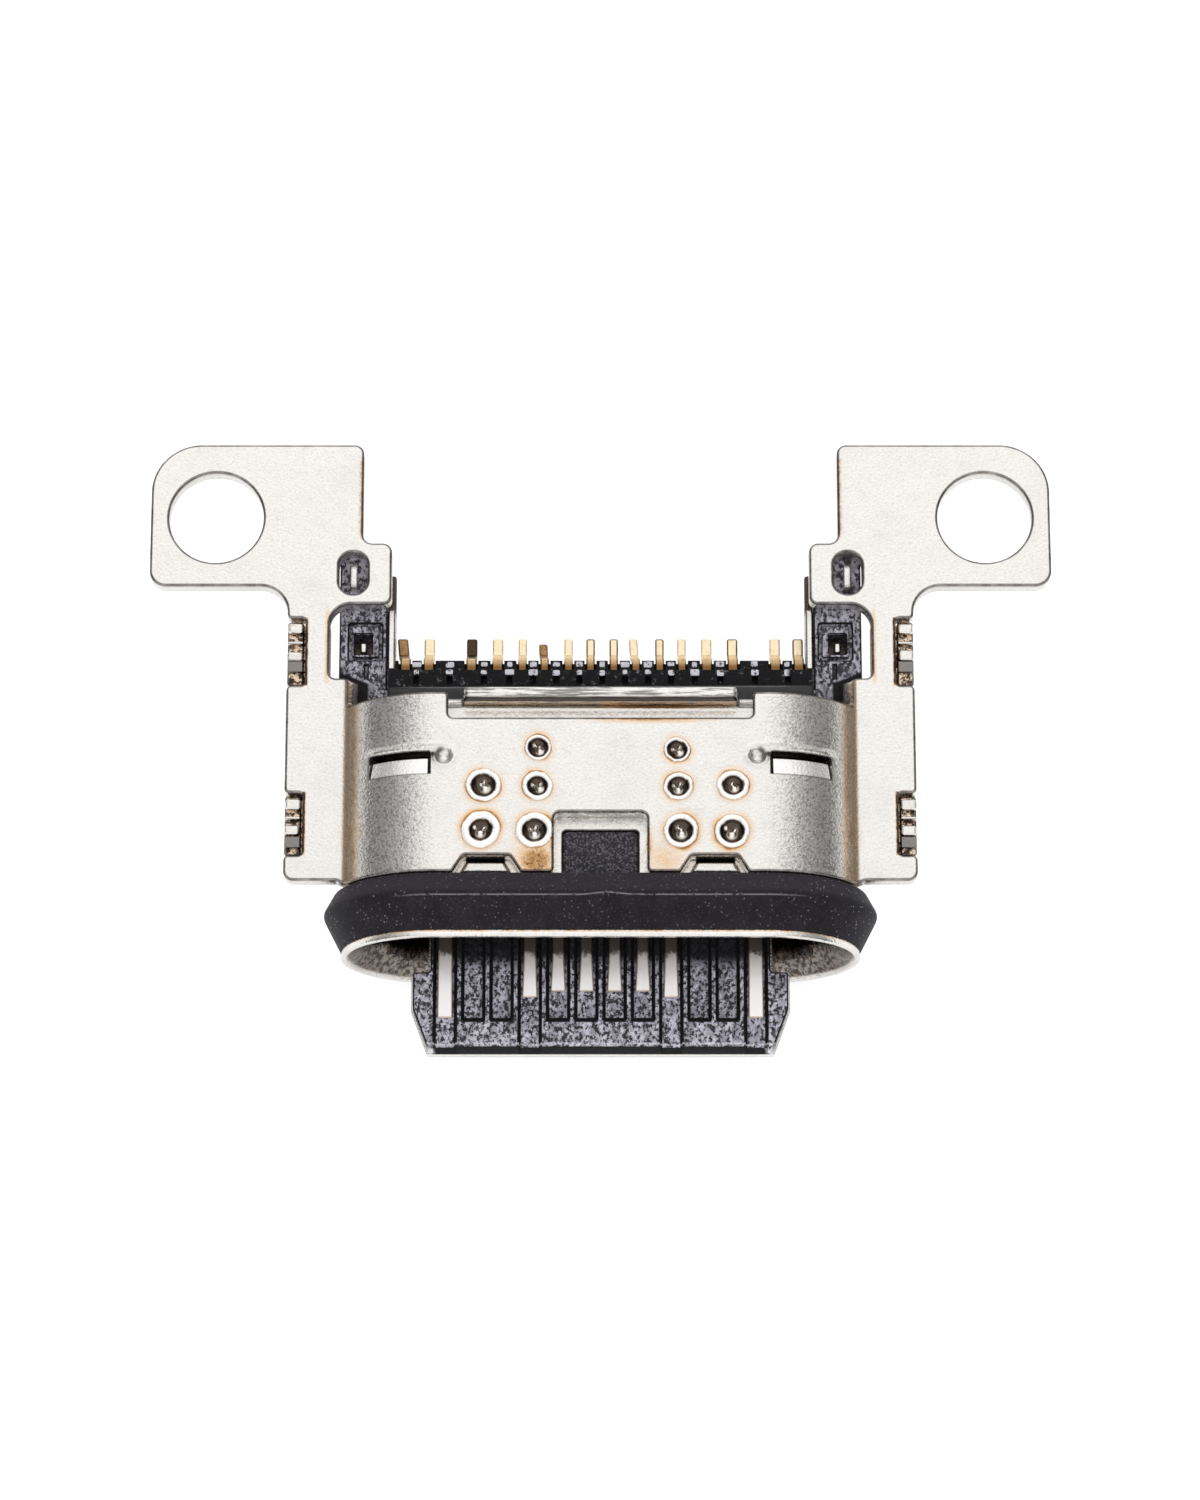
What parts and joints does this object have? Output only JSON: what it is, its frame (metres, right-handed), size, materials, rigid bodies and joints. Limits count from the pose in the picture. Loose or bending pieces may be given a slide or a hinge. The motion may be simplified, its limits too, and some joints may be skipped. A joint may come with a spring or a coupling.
{
  "type": "usb-c socket",
  "caption": "Charging and data socket with an exposed tongue, flared oval shell, silicone seal ring and a welded steel bracket with screw ears.",
  "frame": {"origin": "middle of the mouth rim's front plane, on the mid-plane of the tongue", "axes": "+X across the socket, -Y out of the mouth, +Z towards the spot-welded face of the bracket"},
  "size_m": [0.0162, 0.0112, 0.004],
  "materials": {
    "shell_steel": "nickel plated, satin, heat tinted at the rim",
    "bracket_steel": "nickel plated, satin, orange-brown heat tint round the spot welds",
    "plate_steel": "nickel plated, satin",
    "seal_silicone": "matte dark grey moulded silicone",
    "tongue_plastic": "glass-filled liquid crystal polymer, lightly mottled",
    "housing_plastic": "glass-filled liquid crystal polymer, lightly mottled",
    "potting_resin": "glossy black sealing resin",
    "contact_metal": "copper alloy, gold plated at the tails and pale nickel on the tongue"
  },
  "bodies": {
    "root": {"housing": "housing_plastic", "inner_shell": "shell_steel", "lower_bracket": "bracket_steel", "lower_contact_b1": "contact_metal", "lower_contact_b12": "contact_metal", "lower_contact_b4": "contact_metal", "lower_contact_b5": "contact_metal", "lower_contact_b6": "contact_metal", "lower_contact_b7": "contact_metal", "lower_contact_b8": "contact_metal", "lower_contact_b9": "contact_metal", "lower_ground_plate": "plate_steel", "lower_potting": "potting_resin", "mid_plate": "plate_steel", "seal_ring": "seal_silicone", "tongue": "tongue_plastic", "upper_bracket": "bracket_steel", "upper_contact_a1": "contact_metal", "upper_contact_a12": "contact_metal", "upper_contact_a4": "contact_metal", "upper_contact_a5": "contact_metal", "upper_contact_a6": "contact_metal", "upper_contact_a7": "contact_metal", "upper_contact_a8": "contact_metal", "upper_contact_a9": "contact_metal", "upper_ground_plate": "plate_steel", "upper_potting": "potting_resin"}
  },
  "joints": []
}
